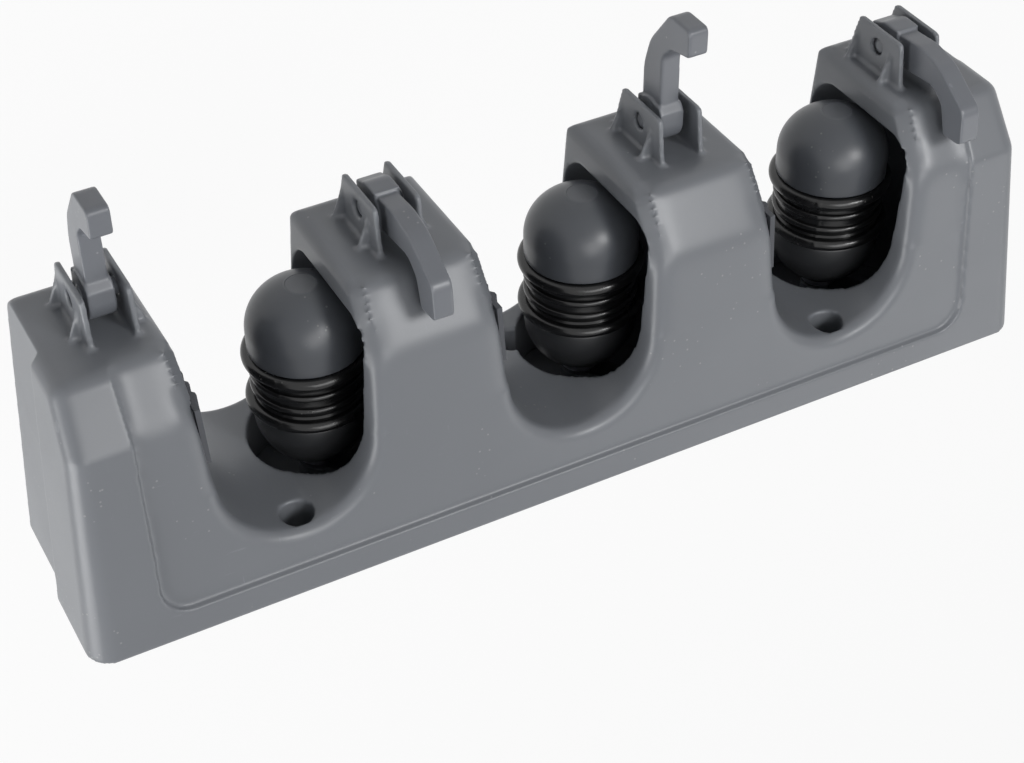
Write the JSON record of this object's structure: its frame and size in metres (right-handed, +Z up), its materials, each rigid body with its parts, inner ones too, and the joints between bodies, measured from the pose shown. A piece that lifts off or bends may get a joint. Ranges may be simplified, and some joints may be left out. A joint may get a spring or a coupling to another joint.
{
  "type": "wall mop holder rack",
  "caption": "Wall rack that grips mop and broom handles between falling rollers and rubber pads, with folding hooks between the slots.",
  "frame": {"origin": "centre of the flat back face, on the wall plane", "axes": "+X along the wall to the right as seen from the front, +Y into the wall, +Z up"},
  "size_m": [0.28, 0.1157, 0.059],
  "materials": {
    "shell": "moulded grey plastic, satin, lightly scuffed",
    "plate": "moulded grey plastic",
    "hook": "moulded grey plastic, satin",
    "pad": "dark grey ribbed rubber",
    "dome": "dark grey satin plastic",
    "cup": "near-black satin plastic",
    "sleeve": "black soft rubber with ridges",
    "steel": "plain zinc-plated steel"
  },
  "bodies": {
    "rack": {"housing": "shell", "back_plate": "plate", "back_plate_screws": "steel", "grip_pad_1": "pad", "grip_pad_2": "pad", "grip_pad_3": "pad"},
    "spindle_1": {"roller_spindle_1": "steel", "roller_cap_1": "dome"},
    "roller_1": {"roller_dome_1": "dome", "roller_sleeve_1": "sleeve", "roller_cup_1": "cup"},
    "spindle_2": {"roller_spindle_2": "steel", "roller_cap_2": "dome"},
    "roller_2": {"roller_dome_2": "dome", "roller_sleeve_2": "sleeve", "roller_cup_2": "cup"},
    "spindle_3": {"roller_spindle_3": "steel", "roller_cap_3": "dome"},
    "roller_3": {"roller_dome_3": "dome", "roller_sleeve_3": "sleeve", "roller_cup_3": "cup"},
    "hook_arm_1": {"hook_1": "hook"},
    "hook_arm_2": {"hook_2": "hook"},
    "hook_arm_3": {"hook_3": "hook"},
    "hook_arm_4": {"hook_4": "hook"}
  },
  "joints": [
    {"name": "roller_1_travel", "type": "slide", "parent": "rack", "child": "spindle_1", "axis": [-0.6428, 0, 0.766], "range_m": [0, 0.0108]},
    {"name": "roller_1_spin", "type": "hinge", "parent": "spindle_1", "child": "roller_1", "pos_m": [-0.0973, -0.03825, -0.0085], "axis": [0, -1, 0], "continuous": true},
    {"name": "roller_2_travel", "type": "slide", "parent": "rack", "child": "spindle_2", "axis": [-0.6428, 0, 0.766], "range_m": [0, 0.0108]},
    {"name": "roller_2_spin", "type": "hinge", "parent": "spindle_2", "child": "roller_2", "pos_m": [-0.0173, -0.03825, -0.0085], "axis": [0, -1, 0], "continuous": true},
    {"name": "roller_3_travel", "type": "slide", "parent": "rack", "child": "spindle_3", "axis": [-0.6428, 0, 0.766], "range_m": [0, 0.0108]},
    {"name": "roller_3_spin", "type": "hinge", "parent": "spindle_3", "child": "roller_3", "pos_m": [0.0627, -0.03825, -0.0085], "axis": [0, -1, 0], "continuous": true},
    {"name": "hook_1_fold", "type": "hinge", "parent": "rack", "child": "hook_arm_1", "pos_m": [-0.1143, -0.0825, -0.008], "axis": [-1, 0, 0], "range_deg": [-85, 0]},
    {"name": "hook_2_fold", "type": "hinge", "parent": "rack", "child": "hook_arm_2", "pos_m": [-0.04, -0.0825, -0.008], "axis": [-1, 0, 0], "range_deg": [0, 85]},
    {"name": "hook_3_fold", "type": "hinge", "parent": "rack", "child": "hook_arm_3", "pos_m": [0.04, -0.0825, -0.008], "axis": [-1, 0, 0], "range_deg": [-85, 0]},
    {"name": "hook_4_fold", "type": "hinge", "parent": "rack", "child": "hook_arm_4", "pos_m": [0.1143, -0.0825, -0.008], "axis": [-1, 0, 0], "range_deg": [0, 85]}
  ]
}
